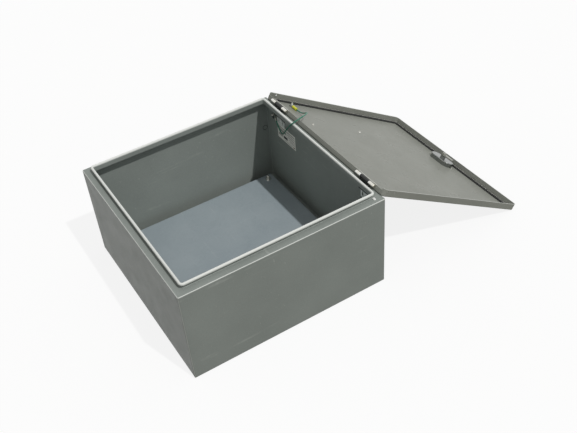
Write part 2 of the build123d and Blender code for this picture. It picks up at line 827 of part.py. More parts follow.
# Bonding wire: straight runs joined by tangent arcs, from the body's lug to the door's terminal.
wire_radii = []
for before, corner, after in zip(wire_points, wire_points[1:], wire_points[2:]):
    run_in = Vector(*corner) - Vector(*before)
    run_out = Vector(*after) - Vector(*corner)
    turn = run_in.get_angle(run_out)
    wire_radii.append(0.45 * min(run_in.length, run_out.length) / math.tan(math.radians(turn / 2)))
print("wire arc radii", [round(radius, 1) for radius in wire_radii])
with BuildPart() as bonding_wire:
    with BuildLine() as wire_path:
        FilletPolyline(*wire_points, radius=wire_radii)
    with BuildSketch(Plane(wire_path.line @ 0, z_dir=wire_path.line % 0)):
        Circle(wire_diameter / 2)
    sweep(path=wire_path.wires()[0])
wire_length = wire_path.wires()[0].length
print("wire length", round(wire_length, 1))
print("wire volume over section times length",
      round(bonding_wire.part.volume / (wire_length * math.pi * wire_diameter**2 / 4), 4))
save(bonding_wire.part, "bonding_wire")

# Door weld studs, wall label and flange plug.
with BuildPart() as door_weld_studs:
    with BuildSketch(on_open_door(Plane.XY.offset(skin_inner_z))):
        with Locations(*[(body_half_x - x, body_half_y - y) for x, y in weld_stud_insets]):
            Circle(weld_stud_r)
    extrude(amount=-weld_stud_length)
save(door_weld_studs.part, "door_weld_studs")

with BuildPart() as wall_label:
    with BuildSketch(Plane.YZ.offset(wall_inner_x)):
        with Locations(
            (body_half_y - label_inset + label_width / 2, body_depth - label_drop + label_height / 2)
        ):
            Rectangle(label_width, label_height)
    extrude(amount=-label_thickness)
save(wall_label.part, "wall_label")

with BuildPart() as flange_plug:
    with BuildSketch(Plane.XY.offset(body_depth)):
        with Locations(plug_place):
            SlotOverall(plug_length, plug_width, rotation=90)
    extrude(amount=plug_rise)
    fillet(flange_plug.faces().sort_by(Axis.Z)[-1].edges(), radius=plug_edge_r)
    with BuildSketch(Plane.XY.offset(body_depth)):
        with Locations(plug_place):
            SlotOverall(
                plug_length - 2 * (plug_shank_inset + plug_shank_clearance),
                plug_width - 2 * (plug_shank_inset + plug_shank_clearance),
                rotation=90,
            )
    extrude(amount=-plug_shank)
save(flange_plug.part, "flange_plug")
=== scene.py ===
import json
import math

import bpy
from mathutils import Matrix, Vector, noise


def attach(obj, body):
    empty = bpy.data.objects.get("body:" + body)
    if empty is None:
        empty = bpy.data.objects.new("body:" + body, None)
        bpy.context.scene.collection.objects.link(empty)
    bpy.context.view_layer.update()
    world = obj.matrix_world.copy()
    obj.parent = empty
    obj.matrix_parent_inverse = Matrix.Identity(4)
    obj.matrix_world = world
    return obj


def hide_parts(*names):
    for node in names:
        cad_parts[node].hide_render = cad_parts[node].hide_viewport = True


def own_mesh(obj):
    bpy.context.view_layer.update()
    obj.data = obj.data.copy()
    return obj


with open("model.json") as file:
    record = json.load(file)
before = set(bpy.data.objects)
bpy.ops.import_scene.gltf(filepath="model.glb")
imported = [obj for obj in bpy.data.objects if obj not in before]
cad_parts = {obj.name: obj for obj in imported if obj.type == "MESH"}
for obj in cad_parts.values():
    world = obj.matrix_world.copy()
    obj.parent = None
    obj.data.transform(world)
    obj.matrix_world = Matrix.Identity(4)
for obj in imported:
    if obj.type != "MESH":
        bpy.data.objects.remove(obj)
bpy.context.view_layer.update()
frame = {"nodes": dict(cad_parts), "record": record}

nodes = frame["nodes"]
mm = 0.001
print("frame loaded:", len(nodes), "nodes")


# camera

cameraView = {
    "place": (-0.71948, -1.63498, 1.72572),
    "azimuth": -28.79,  # degrees, 0 looks along +Y
    "elevation": 41.206,
    "roll": -5.055,
    "lens": 52.09,  # mm on a 36 mm sensor
}


def makeCamera(view):
    data = bpy.data.cameras.new("camera")
    data.lens = view["lens"]
    data.sensor_width = 36.0
    data.clip_end = 30.0
    camera = bpy.data.objects.new("camera", data)
    bpy.context.scene.collection.objects.link(camera)
    turn = Matrix.Rotation(math.radians(view["azimuth"]), 4, "Z")
    tilt = Matrix.Rotation(math.radians(90 - view["elevation"]), 4, "X")
    roll = Matrix.Rotation(math.radians(view["roll"]), 4, "Z")
    camera.matrix_world = Matrix.Translation(view["place"]) @ turn @ tilt @ roll
    bpy.context.scene.camera = camera


makeCamera(cameraView)
print("camera placed")


# small helpers

hinge = next(joint for joint in frame["record"]["behaviour"]["joints"] if joint["name"] == "door_hinge")
hingeLine = Vector(hinge["pos_m"])
doorAngle = math.radians(-hinge["range_deg"][0])
doorTurn = (Matrix.Translation(hingeLine) @ Matrix.Rotation(doorAngle, 4, "Y")
            @ Matrix.Translation(-hingeLine))  # from the shut door to the door as it lies open


def linear(hexColour):
    # sRGB hex to the linear colour that Blender's sockets take
    channels = [int(hexColour[i:i + 2], 16) / 255 for i in (1, 3, 5)]
    return tuple(c / 12.92 if c <= 0.04045 else ((c + 0.055) / 1.055) ** 2.4 for c in channels) + (1,)


def join(material, source, target):
    # from a socket, or from a node's first socket
    material.node_tree.links.new(source.outputs[0] if isinstance(source, bpy.types.Node) else source, target)


def addNode(material, kind, links=None, **settings):
    # one shader node: settings starting with in_ are socket values, the others are the node's own
    node = material.node_tree.nodes.new("ShaderNode" + kind)
    for name, value in settings.items():
        if not name.startswith("in_"):
            setattr(node, name, value)
    for name, value in settings.items():
        if name.startswith("in_"):
            socket = name[3:]
            node.inputs[int(socket) if socket.isdigit() else socket.replace("_", " ")].default_value = value
    for socket, source in (links or {}).items():
        join(material, source, node.inputs[socket])
    return node


def newMaterial(name):
    material = bpy.data.materials.new(name)
    material.use_nodes = True
    return material, material.node_tree.nodes["Principled BSDF"]


def meshPiece(name, vertices, faces, *materials, place=None):
    # vertices in metres, or in mm where a place turns and moves them
    if place is not None:
        vertices = [place @ (Vector(v) * mm) for v in vertices]
    mesh = bpy.data.meshes.new(name)
    mesh.from_pydata(vertices, [], faces)
    mesh.update()
    piece = bpy.data.objects.new(name, mesh)
    bpy.context.scene.collection.objects.link(piece)
    for material in materials:
        mesh.materials.append(material)
    return piece


def finishPiece(piece, body, slot, *replaced, smooth=None):
    if smooth is not None:
        piece.data.shade_smooth()
        piece.data.set_sharp_from_angle(angle=math.radians(smooth))
    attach(piece, body)
    if replaced:
        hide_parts(*replaced)
    return piece


def standing(spot, axis):
    # the place of a part that stands at a spot, given in mm, with its own +Z along the axis
    turn = Vector((0, 0, 1)).rotation_difference(Vector(axis))
    return Matrix.Translation(Vector(spot) * mm) @ turn.to_matrix().to_4x4()


def ringStack(rows, sides, closed=False):
    # rings of points, each a z and either one radius or one for each side, skinned in order
    vertices, faces = [], []
    for z, radii in rows:
        for k in range(sides):
            r = radii[k] if isinstance(radii, list) else radii
            angle = 2 * math.pi * k / sides
            vertices.append((r * math.cos(angle), r * math.sin(angle), z))
    count = len(rows)
    for i in range(count if closed else count - 1):
        low, high = i * sides, (i + 1) % count * sides
        for k in range(sides):
            n = (k + 1) % sides
            faces.append((low + k, low + n, high + n, high + k))
    if not closed:
        faces.append(tuple(reversed(range(sides))))
        faces.append(tuple(range((count - 1) * sides, count * sides)))
    return vertices, faces


def gather(parts):
    # several lots of vertices and faces as one
    vertices, faces = [], []
    for more, around in parts:
        faces += [tuple(i + len(vertices) for i in face) for face in around]
        vertices += [tuple(v) for v in more]
    return vertices, faces


def placed(part, place):
    vertices, faces = part
    return [place @ (Vector(v) * mm) for v in vertices], faces


# bonding wire, the one free cord: it lies where its solid lies

wire = {
    "diameter": 3.8 * mm,
    "length": 0.391,
    "sides": 20,
    "points": [  # mm, from the lug on the wall to the sleeve on the door
        (300.3, 245.3, 250.5), (300.3, 238.4, 238.05), (299, 227, 227), (296.8, 212, 223),
        (294.3, 197.5, 228.5), (291, 185, 240), (286.5, 169, 258), (281.5, 149, 280),
        (276.5, 129.5, 301), (273.2, 112.5, 318), (279, 101.5, 331.5), (296, 98.5, 338.5),
        (315, 104, 338), (336, 120, 328.5), (353, 142, 313), (361, 163, 297.5),
        (362.61, 184, 284.3), (362.61, 203.5, 277.31), (362.61, 222, 277.31),
    ],
    "foldAxis": (0.883, 0.0, 0.47),  # across the plane that the wire folds into as the door shuts
    "foldOn": (289.5, 245.3, 250.5),  # a point of that plane, inside the wall
}


def smoothRoute(points):
    # the NURBS line through the route, as points in metres
    curve = bpy.data.curves.new("wireLine", "CURVE")
    curve.dimensions = "3D"
    spline = curve.splines.new("NURBS")
    spline.points.add(len(points) - 1)
    for place, point in zip(points, spline.points):
        point.co = (place[0] * mm, place[1] * mm, place[2] * mm, 1)
    spline.order_u = 3
    spline.use_endpoint_u = True
    spline.resolution_u = 12
    line = bpy.data.objects.new("wireLine", curve)
    bpy.context.scene.collection.objects.link(line)
    bpy.context.view_layer.update()
    mesh = bpy.data.meshes.new_from_object(line.evaluated_get(bpy.context.evaluated_depsgraph_get()))
    route = [v.co.copy() for v in mesh.vertices]
    bpy.data.objects.remove(line)
    return route


def tubeAlong(name, route, radius, sides, *materials):
    # a closed round tube whose rings turn as little as they can along the route
    vertices, faces = [], []
    side = Vector((0, 1, 0))
    for i, place in enumerate(route):
        ahead = (route[min(i + 1, len(route) - 1)] - route[max(i - 1, 0)]).normalized()
        side = (side - ahead * side.dot(ahead)).normalized()
        if side.length < 0.5:
            side = ahead.orthogonal().normalized()
        up = ahead.cross(side)
        for k in range(sides):
            angle = 2 * math.pi * k / sides
            vertices.append(place + (side * math.cos(angle) + up * math.sin(angle)) * radius)
    for i in range(len(route) - 1):
        for k in range(sides):
            a, b = i * sides + k, i * sides + (k + 1) % sides
            faces.append((a, b, b + sides, a + sides))
    faces.append(tuple(reversed(range(sides))))
    faces.append(tuple(range((len(route) - 1) * sides, len(route) * sides)))
    return meshPiece(name, vertices, faces, *materials)


# finishes

coat = {
    "mottle": 160.0, "rub": 45.0, "grit": 3.5, "crumbs": 21.0, "peel": 4.0, "sheet": 110.0,  # pattern sizes, mm
    "peelDepth": 0.12, "sheetDepth": 0.9,  # mm
    "streaks": (((0.0, 0.0, 0.4), (3.5, 260, 60)), ((0.3, 0.2, -0.7), (240, 5.0, 90))),  # turn, lines per metre
    "highlightStart": 2.4, "cornerHighlightStart": 2.2, "highlightWhole": 0.6,  # mm in from a fold: where the painted highlight starts, and where it is whole
    # the first is the colour of the painted highlight on rims, corners and folds; then rubbed scratches and dust
    "edgeHighlightColour": "#EEF0EB", "rubColour": "#C9CCC6", "dustColour": "#BDBAAE",
    "ior": 1.5, "gloss": 0.06,
}
# painted highlight: where it lies on the body and on the door, in metres, and how far it pales the coat
bodyEdgeHighlight = {"side": 0.305, "fold": 0.305, "rim": (0.3155, 0.3185), "highlightShare": 0.95}
doorEdgeHighlight = {"side": 0.2955, "fold": 0.3281, "rim": (0.3082, 0.3074), "highlightShare": 0.5}


def objectPlace(material, doorSide=False):
    # the point on the piece, in metres; on the door it is turned back to where the shut door has it
    place = addNode(material, "TexCoord").outputs["Object"]
    if not doorSide:
        return place
    back = doorTurn.inverted()
    return addNode(material, "Mapping", {"Vector": place}, in_Location=tuple(back.to_translation()),
                   in_Rotation=(0.0, -doorAngle, 0.0)).outputs[0]


def paintedEdgeHighlight(material, place, highlightEdges):
    # painted highlight: the coat made paler along its rim, its corners and the outsides of its folds, where they
    # catch the light
    x, y, z = addNode(material, "SeparateXYZ", {0: place}).outputs
    highlightWhole, highlightStart = highlightEdges["side"] - coat["highlightWhole"] * mm, highlightEdges["side"] - coat["highlightStart"] * mm
    across = addNode(material, "Math", {0: x}, operation="ABSOLUTE")
    along = addNode(material, "Math", {0: y}, operation="ABSOLUTE")
    left = addNode(material, "Math", {0: x}, operation="MULTIPLY", in_1=-1.0)
    near = addNode(material, "Math", {0: y}, operation="MULTIPLY", in_1=-1.0)
    outer = addNode(material, "Math", {0: left, 1: near}, operation="MAXIMUM")
    inner = addNode(material, "Math", {0: across, 1: along}, operation="MINIMUM")
    sideways = addNode(material, "MapRange", {"Value": outer}, in_1=highlightStart, in_2=highlightWhole)
    upward = addNode(material, "MapRange", {"Value": z}, in_1=highlightEdges["fold"] - coat["highlightStart"] * mm,
                     in_2=highlightEdges["fold"] - coat["highlightWhole"] * mm)
    fold = addNode(material, "Math", {0: sideways, 1: upward}, operation="MULTIPLY")
    rim = addNode(material, "MapRange", {"Value": z}, in_1=highlightEdges["rim"][0], in_2=highlightEdges["rim"][1])
    corner = addNode(material, "MapRange", {"Value": inner}, in_1=highlightEdges["side"] - coat["cornerHighlightStart"] * mm,
                     in_2=highlightWhole)
    edgeHighlight = addNode(material, "Math", {0: fold, 1: rim}, operation="MAXIMUM")
    return addNode(material, "Math", {0: edgeHighlight, 1: corner}, operation="MAXIMUM")


def powderCoat(name, colour, shade, roughness, streak, highlightEdges=None, doorSide=False):
    # polyester powder coat on sheet steel, baked: semi-gloss with a fine orange peel,
    # softly mottled, rubbed dull in patches, lightly scratched and specked with dust, and with a painted
    # highlight along its rim and folds where edges are given
    material, shader = newMaterial(name)
    place = objectPlace(material, doorSide)
    mottle = addNode(material, "TexNoise", {"Vector": place}, in_Scale=1 / (coat["mottle"] * mm), in_Detail=4.0,
                     in_Roughness=0.55)
    rub = addNode(material, "TexNoise", {"Vector": place}, in_Scale=1 / (coat["rub"] * mm), in_Detail=6.0,
                  in_Roughness=0.6, in_Distortion=0.6)
    grit = addNode(material, "TexNoise", {"Vector": place}, in_Scale=1 / (coat["grit"] * mm),
                   in_Detail=2.0)  # coarser than real, so that it shows
    streaks = []
    for turn, stretch in coat["streaks"]:
        laid = addNode(material, "Mapping", {"Vector": place}, in_Rotation=turn, in_Scale=stretch)
        lines = addNode(material, "TexNoise", {"Vector": laid}, in_Scale=1.0, in_Detail=2.0)
        streaks.append(addNode(material, "MapRange", {"Value": lines}, in_1=0.67, in_2=0.74))
    scratch = addNode(material, "Math", {0: streaks[0], 1: streaks[1]}, operation="MAXIMUM")
    patches = addNode(material, "MapRange", {"Value": rub}, in_1=0.42, in_2=0.66)
    worn = addNode(material, "Math", {0: scratch, 1: patches}, operation="MULTIPLY")
    specks = addNode(material, "TexVoronoi", {"Vector": place}, in_Scale=1 / (coat["crumbs"] * mm),
                     in_Randomness=1.0)
    crumbs = addNode(material, "MapRange", {"Value": specks.outputs["Distance"]}, in_1=0.045,
                     in_2=0.02)  # 1 to 2 mm across

    patch = addNode(material, "MapRange", {"Value": mottle}, in_1=0.3, in_2=0.7)
    base = addNode(material, "Mix", {"Factor": patch}, data_type="RGBA", in_6=linear(shade), in_7=linear(colour))
    tone = addNode(material, "MapRange", {"Value": grit}, in_1=0.3, in_2=0.7, in_3=0.965, in_4=1.03)
    painted = addNode(material, "VectorMath", {0: base.outputs[2], 3: tone}, operation="SCALE").outputs[0]
    # painted highlight: the coat is mixed towards a near white along its rim, corners and folds
    if highlightEdges:
        edgeHighlight = addNode(material, "Math", {0: paintedEdgeHighlight(material, place, highlightEdges)}, operation="MULTIPLY",
                       in_1=highlightEdges["highlightShare"])
        painted = addNode(material, "Mix", {"Factor": edgeHighlight, 6: painted}, data_type="RGBA",
                          in_7=linear(coat["edgeHighlightColour"])).outputs[2]
    dulled = addNode(material, "Math", {0: worn}, operation="MULTIPLY", in_1=streak)
    painted = addNode(material, "Mix", {"Factor": dulled, 6: painted}, data_type="RGBA",
                      in_7=linear(coat["rubColour"])).outputs[2]
    settled = addNode(material, "MapRange", {"Value": rub}, in_1=0.45, in_2=0.6)
    dusted = addNode(material, "Math", {0: crumbs, 1: settled}, operation="MULTIPLY")
    painted = addNode(material, "Mix", {"Factor": dusted, 6: painted}, data_type="RGBA",
                      in_7=linear(coat["dustColour"])).outputs[2]
    join(material, painted, shader.inputs["Base Color"])

    sheen = addNode(material, "MapRange", {"Value": rub}, in_1=0.3, in_2=0.75, in_3=roughness - 0.05,
                    in_4=roughness + 0.09)
    join(material, sheen, shader.inputs["Roughness"])
    peel = addNode(material, "TexNoise", {"Vector": place}, in_Scale=1 / (coat["peel"] * mm),
                   in_Detail=1.5)  # orange peel, coarser than real, so that it shows
    waves = addNode(material, "TexNoise", {"Vector": place}, in_Scale=1 / (coat["sheet"] * mm),
                    in_Detail=1.0)  # the sheet isn't quite flat
    fine = addNode(material, "Bump", {"Height": peel}, in_Strength=0.12, in_Distance=coat["peelDepth"] * mm)
    broad = addNode(material, "Bump", {"Height": waves, "Normal": fine}, in_Strength=0.5,
                    in_Distance=coat["sheetDepth"] * mm)
    join(material, broad, shader.inputs["Normal"])
    shader.inputs["IOR"].default_value = coat["ior"]
    shader.inputs["Specular IOR Level"].default_value = coat["gloss"]
    return material


def platedSteel(name, colour, tint, roughness, grain=(900, 60, 900), metallic=1.0):
    # zinc plated steel, drawn and barrel plated: bright with a faint blue and straw bloom and fine draw lines
    material, shader = newMaterial(name)
    place = objectPlace(material)
    bloom = addNode(material, "TexNoise", {"Vector": place}, in_Scale=1 / (12 * mm), in_Detail=4.0)
    drawn = addNode(material, "Mapping", {"Vector": place}, in_Scale=grain)  # lines per metre
    lines = addNode(material, "TexNoise", {"Vector": drawn}, in_Scale=1.0, in_Detail=3.0)
    patch = addNode(material, "MapRange", {"Value": bloom}, in_1=0.35, in_2=0.65)
    base = addNode(material, "Mix", {"Factor": patch}, data_type="RGBA", in_6=linear(colour), in_7=linear(tint))
    join(material, base.outputs[2], shader.inputs["Base Color"])
    sheen = addNode(material, "MapRange", {"Value": lines}, in_1=0.3, in_2=0.7, in_3=roughness - 0.08,
                    in_4=roughness + 0.1)
    join(material, sheen, shader.inputs["Roughness"])
    bump = addNode(material, "Bump", {"Height": lines}, in_Strength=0.2, in_Distance=0.08 * mm)
    join(material, bump, shader.inputs["Normal"])
    shader.inputs["Metallic"].default_value = metallic
    return material


def mouldedPlastic(name, colour, shade, roughness, grainSize, ior=1.46):
    # injection moulded or extruded plastic: even colour, a faint flow mottle and a fine skin
    material, shader = newMaterial(name)
    place = objectPlace(material)
    flow = addNode(material, "TexNoise", {"Vector": place}, in_Scale=1 / (20 * mm), in_Detail=3.0)
    skin = addNode(material, "TexNoise", {"Vector": place}, in_Scale=1 / (grainSize * mm), in_Detail=2.0)
    base = addNode(material, "Mix", {"Factor": flow}, data_type="RGBA", in_6=linear(shade), in_7=linear(colour))
    join(material, base.outputs[2], shader.inputs["Base Color"])
    sheen = addNode(material, "MapRange", {"Value": skin}, in_1=0.3, in_2=0.7, in_3=roughness - 0.05,
                    in_4=roughness + 0.07)
    join(material, sheen, shader.inputs["Roughness"])
    bump = addNode(material, "Bump", {"Height": skin}, in_Strength=0.3, in_Distance=0.04 * mm)
    join(material, bump, shader.inputs["Normal"])
    shader.inputs["IOR"].default_value = ior
    return material


def foamRubber(name, colour, pore, cellSize):
    # closed cell EPDM foam strip, skived: matt black with small open cells on its cut faces
    material, shader = newMaterial(name)
    place = objectPlace(material)
    cells = addNode(material, "TexVoronoi", {"Vector": place}, in_Scale=1 / (cellSize * mm), in_Randomness=1.0)
    haze = addNode(material, "TexNoise", {"Vector": place}, in_Scale=1 / (30 * mm), in_Detail=4.0)
    hollow = addNode(material, "MapRange", {"Value": cells.outputs["Distance"]}, in_1=0.35, in_2=0.1)
    patch = addNode(material, "MapRange", {"Value": haze}, in_1=0.35, in_2=0.65)
    worn = addNode(material, "Math", {0: hollow, 1: patch}, operation="MULTIPLY")
    base = addNode(material, "Mix", {"Factor": worn}, data_type="RGBA", in_6=linear(colour), in_7=linear(pore))
    join(material, base.outputs[2], shader.inputs["Base Color"])
    bump = addNode(material, "Bump", {"Height": cells.outputs["Distance"]}, in_Strength=0.5, in_Distance=0.4 * mm)
    join(material, bump, shader.inputs["Normal"])
    shader.inputs["Roughness"].default_value = 0.78
    shader.inputs["IOR"].default_value = 1.5
    return material


# the coats: green grey outside and in, warmer on the door, bluer and smoother on the panel
bodyCoat = powderCoat("greyPowderCoat", "#979D98", "#8F9590", 0.34, 0.35, bodyEdgeHighlight)
doorCoat = powderCoat("greyPowderCoatDoor", "#979991", "#8F9189", 0.3, 0.3, doorEdgeHighlight, doorSide=True)
panelCoat = powderCoat("blueGreyEnamel", "#A3ADB1", "#98A3A8", 0.28, 0.3)
# the metals: bright zinc, zinc passivated to a chalky white, polished chrome, and a darker, rougher zinc
zinc = platedSteel("zincPlate", "#E2E3E0", "#D6D3C6", 0.28)
passivated = platedSteel("bluePassivatedZinc", "#F6F8F4", "#E6EAE5", 0.42, (700, 700, 90), 0.3)
chrome = platedSteel("chromePlatedZinc", "#8B8D89", "#838786", 0.2)
dullZinc = platedSteel("dullZincPlate", "#A7A8A2", "#98998F", 0.42)
# black electrocoat: thin, even and satin; foam: matt and open celled where it was cut
blackCoat = mouldedPlastic("blackElectrocoat", "#171816", "#101110", 0.42, 1.2, ior=1.5)
foam = foamRubber("foamRubber", "#191A19", "#2A2B29", 1.8)
# extruded vinyl on the wire and its sleeve, moulded nylon in the flange: clean strong colours, soft highlights
greenVinyl = mouldedPlastic("greenVinyl", "#1E7F63", "#176B53", 0.3, 4.0, ior=1.53)
yellowVinyl = mouldedPlastic("yellowVinyl", "#E6E63A", "#D2D22A", 0.28, 3.0, ior=1.53)
whiteNylon = mouldedPlastic("whiteNylon", "#FAFAF7", "#F0F0EC", 0.35, 3.0, ior=1.53)
# polyester film, flat and slightly glossy, bare or under screen printed ink
labelFilm = mouldedPlastic("polyesterFilm", "#FBF9F0", "#F2F0E7", 0.35, 10.0, ior=1.6)
labelGrey = mouldedPlastic("greyPrintedFilm", "#B4B4AE", "#A9A9A3", 0.35, 10.0, ior=1.6)
labelDark = mouldedPlastic("darkPrintedFilm", "#3A3B3C", "#323334", 0.35, 10.0, ior=1.6)
labelRed = mouldedPlastic("redPrintedFilm", "#6E2A28", "#602422", 0.35, 10.0, ior=1.6)
print("finishes made")

finishes = {
    "body_paint": bodyCoat, "door_paint": doorCoat, "panel_paint": panelCoat, "gasket_rubber": foam,
    "zinc_steel": zinc, "black_steel": blackCoat, "chrome_zinc": chrome, "wire_green": greenVinyl,
    "sleeve_yellow": yellowVinyl, "plug_white": whiteNylon, "label_film": labelFilm,
}
brackets = ("hinge_bracket_upper", "hinge_bracket_lower")
dullParts = ("body_ground_lug", "door_ground_terminal", "latch_cam", "latch_washer", "latch_nut", "latch_shaft")
for part in frame["record"]["subparts"]:
    nodes[part["node"]].material_slots[0].material = finishes[part["material_slot"]]
for names, finish in ((brackets, passivated), (dullParts, dullZinc)):
    for name in names:
        nodes[name].material_slots[0].material = finish


# the wire's tube

def makeWire():
    route = smoothRoute(wire["points"])
    length = sum((b - a).length for a, b in zip(route, route[1:]))
    print("wire length", round(length, 4))
    piece = tubeAlong("bonding_wire_vinyl", route, wire["diameter"] / 2, wire["sides"], greenVinyl)
    piece.data.shade_smooth()
    finishPiece(piece, "cabinet", "wire_green", "bonding_wire")
    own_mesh(piece)


makeWire()
print("wire laid")


# threaded studs and nuts, in mm

fasteners = {
    "sides": 36,
    "threadDepth": 0.055,  # of the stud's diameter, a little deeper than real so that it shows
    "threadSteps": 5,  # rings in each turn of a thread
    "panelStud": {"radius": 4.0, "pitch": 1.25, "length": 18.0, "collar": 8.0, "collarHeight": 26.1},
    "panelNut": {"flats": 13.0, "height": 8.0, "flange": 8.6, "flangeHeight": 2.0, "bore": 4.1},
    "hingeStud": {"radius": 2.5, "pitch": 0.8, "length": 10.5},
    "hingeNut": {"flats": 8.0, "height": 4.7, "flange": 5.9, "flangeHeight": 1.1, "bore": 2.6},
    "groundStud": {"radius": 3.0, "pitch": 1.0, "length": 14.0},
    "groundNut": {"flats": 10.0, "height": 5.0, "flange": 0, "flangeHeight": 0, "bore": 3.1},
    "panelAt": 258.0, "panelStudZ": 1.9, "panelNutZ": 30.0,  # out from the middle both ways
    "hingeAt": 219.0, "hingeSide": 14.0, "hingeZ": 290.0,
    "wallX": 303.1, "hingeNutX": 298.6,
    "bodyGround": (303.1, 255.0, 268.0), "doorGround": (227.0, 252.0, 326.2), "groundLug": 1.2,
}


def threadedStud(size, base=()):
    # a stud with a rolled thread, standing on any wider base rings
    sides, radius, pitch = fasteners["sides"], size["radius"], size["pitch"]
    depth = fasteners["threadDepth"] * 2 * radius
    rows = list(base)
    low = rows[-1][0] if rows else 0.0
    high = low + size["length"]
    steps = int(size["length"] / pitch * fasteners["threadSteps"])
    if rows:
        rows.append((low, radius - depth))
    for i in range(steps + 1):
        z = low + (high - low) * i / steps
        fade = min(1.0, (high - z) / (0.8 * pitch))  # the thread runs out into the end's bevel
        radii = []
        for k in range(sides):
            part = (z / pitch - k / sides) % 1.0
            ridge = 1 - abs(2 * part - 1)
            radii.append((radius - depth * (1 - ridge)) * fade + (radius - 1.6 * depth) * (1 - fade))
        rows.append((z, radii))
    rows.append((high, radius * 0.62))
    return ringStack(rows, sides)


def hexNut(size):
    # a cold formed nut: both ends bevelled to a circle, a countersunk threaded bore, and any washer flange
    sides, bore, flange = fasteners["sides"], size["bore"], size["flange"]
    half, height, start = size["flats"] / 2, size["height"], size["flangeHeight"]
    hexagon = []
    for k in range(sides):
        turn = (360 * k / sides) % 60 - 30
        hexagon.append(half / math.cos(math.radians(turn)))

    def cut(limit):
        return [min(r, limit) for r in hexagon]

    rows = [(0.35, bore), (0.0, bore + 0.4)]
    if flange:
        rows += [(0.0, flange - 0.25), (0.3, flange), (start * 0.55, flange), (start * 0.8, flange - 0.3),
                 (start, half + 0.35), (start + 0.02, hexagon)]
    else:
        rows += [(0.0, cut(half * 0.97)), (0.25, cut(half * 1.06)), (0.6, hexagon)]
    rows += [(height - 0.85, hexagon), (height - 0.42, cut(half * 1.07)), (height - 0.16, cut(half * 1.0)),
             (height, cut(half * 0.92)), (height, bore + 0.55), (height - 0.5, bore)]
    turns, crest = 6, 0.12
    for i in range(turns):
        z = height - 0.5 - (height - 0.85) * (i + 0.5) / turns
        rows.append((z, bore + crest if i % 2 else bore))
    return ringStack(rows, sides, closed=True)


def fastenerPiece(name, body, replaced, finish, parts, smooth):
    piece = meshPiece(name, *gather(parts), finish)
    finishPiece(piece, body, "zinc_steel", replaced, smooth=smooth)


def turned(place, angle, lift=0.0):
    return place @ Matrix.Translation((0, 0, lift * mm)) @ Matrix.Rotation(angle, 4, "Z")


def makeFasteners():
    out, up = fasteners["panelAt"], (0, 0, 1)
    corners = [(x, y) for x in (-out, out) for y in (-out, out)]
    size = fasteners["panelStud"]
    collar, top = size["collar"], size["collarHeight"]
    foot = [(0.0, collar + 1.4), (0.9, collar + 0.5), (2.2, collar), (top - 0.6, collar), (top, collar - 0.6)]
    feet = [standing((x, y, fasteners["panelStudZ"]), up) for x, y in corners]
    seats = [standing((x, y, fasteners["panelNutZ"]), up) for x, y in corners]
    studs = [placed(threadedStud(size, foot), place) for place in feet]
    nuts = [placed(hexNut(fasteners["panelNut"]), turned(place, 0.3 + 1.1 * i)) for i, place in enumerate(seats)]
    fastenerPiece("panel_studs_threaded", "cabinet", "panel_studs", zinc, studs, 32)
    fastenerPiece("panel_nuts_flanged", "cabinet", "panel_nuts", zinc, nuts, 28)

    inward, z = (-1, 0, 0), fasteners["hingeZ"]
    spots = [y + side for y in (-fasteners["hingeAt"], fasteners["hingeAt"])
             for side in (-fasteners["hingeSide"], fasteners["hingeSide"])]
    feet = [standing((fasteners["wallX"], y, z), inward) for y in spots]
    seats = [standing((fasteners["hingeNutX"], y, z), inward) for y in spots]
    studs = [placed(threadedStud(fasteners["hingeStud"]), place) for place in feet]
    nuts = [placed(hexNut(fasteners["hingeNut"]), turned(place, 0.5 + 0.7 * i)) for i, place in enumerate(seats)]
    fastenerPiece("hinge_studs_threaded", "cabinet", "hinge_studs", zinc, studs, 32)
    fastenerPiece("hinge_nuts_flanged", "cabinet", "hinge_nuts", zinc, nuts, 28)

    grounds = (("body", "cabinet", standing(fasteners["bodyGround"], inward), 0.4),
               ("door", "door", doorTurn @ standing(fasteners["doorGround"], (0, 0, -1)), 0.9))
    for side, body, place, angle in grounds:
        stud = placed(threadedStud(fasteners["groundStud"]), place)
        nut = placed(hexNut(fasteners["groundNut"]), turned(place, angle, fasteners["groundLug"]))
        fastenerPiece(side + "_ground_stud_threaded", body, side + "_ground_stud", dullZinc, [stud], 32)
        fastenerPiece(side + "_ground_nut_hex", body, side + "_ground_nut", dullZinc, [nut], 28)


makeFasteners()
print("studs and nuts made")


# door gasket: one foam strip laid round inside the flange, with a butt joint; mm, on the shut door

gasket = {
    "outerX": 290.2, "outerY": 290.2,  # half sizes
    "cornerR": 8.0,
    "width": 12.7,
    "face": 322.3, "back": 326.2,
    "edgeR": 1.5,
    "insideR": 1.5,  # the least radius that a corner keeps
    "crown": 0.12,  # how far the middle stands below its corners
    "waver": 0.35,  # as it is laid by hand
    "jointAt": 0.43,  # share of the way round
    "straightSteps": 26, "cornerSteps": 8,
    # the painted highlight strip along the foam's outer edge: its width, thickness, inset, and how far it sinks
    # below the foam's face
    "glintWidth": 1.1, "glintThick": 0.3, "glintSet": 1.0, "glintSink": 0.12,
}
quarters = ((1, 1), (-1, 1), (-1, -1), (1, -1))


def stripPoint(centre, turn, inward):
    # a corner is round as far in as its radius lasts, and all but square further in
    (cx, cy), (dx, dy) = centre, turn
    bend = gasket["cornerR"] - inward
    x, y = cx + dx * bend, cy + dy * bend
    if bend >= gasket["insideR"]:
        return x, y
    wideX, wideY = gasket["outerX"] - inward, gasket["outerY"] - inward
    if 0.001 < abs(dx) < 0.999:
        return math.copysign(wideX - 0.6 * abs(dy) ** 3, cx), math.copysign(wideY - 0.6 * abs(dx) ** 3, cy)
    if abs(dx) > abs(dy):
        return math.copysign(wideX, cx), math.copysign(min(abs(y), wideY), y)
    return math.copysign(min(abs(x), wideX), x), math.copysign(wideY, cy)


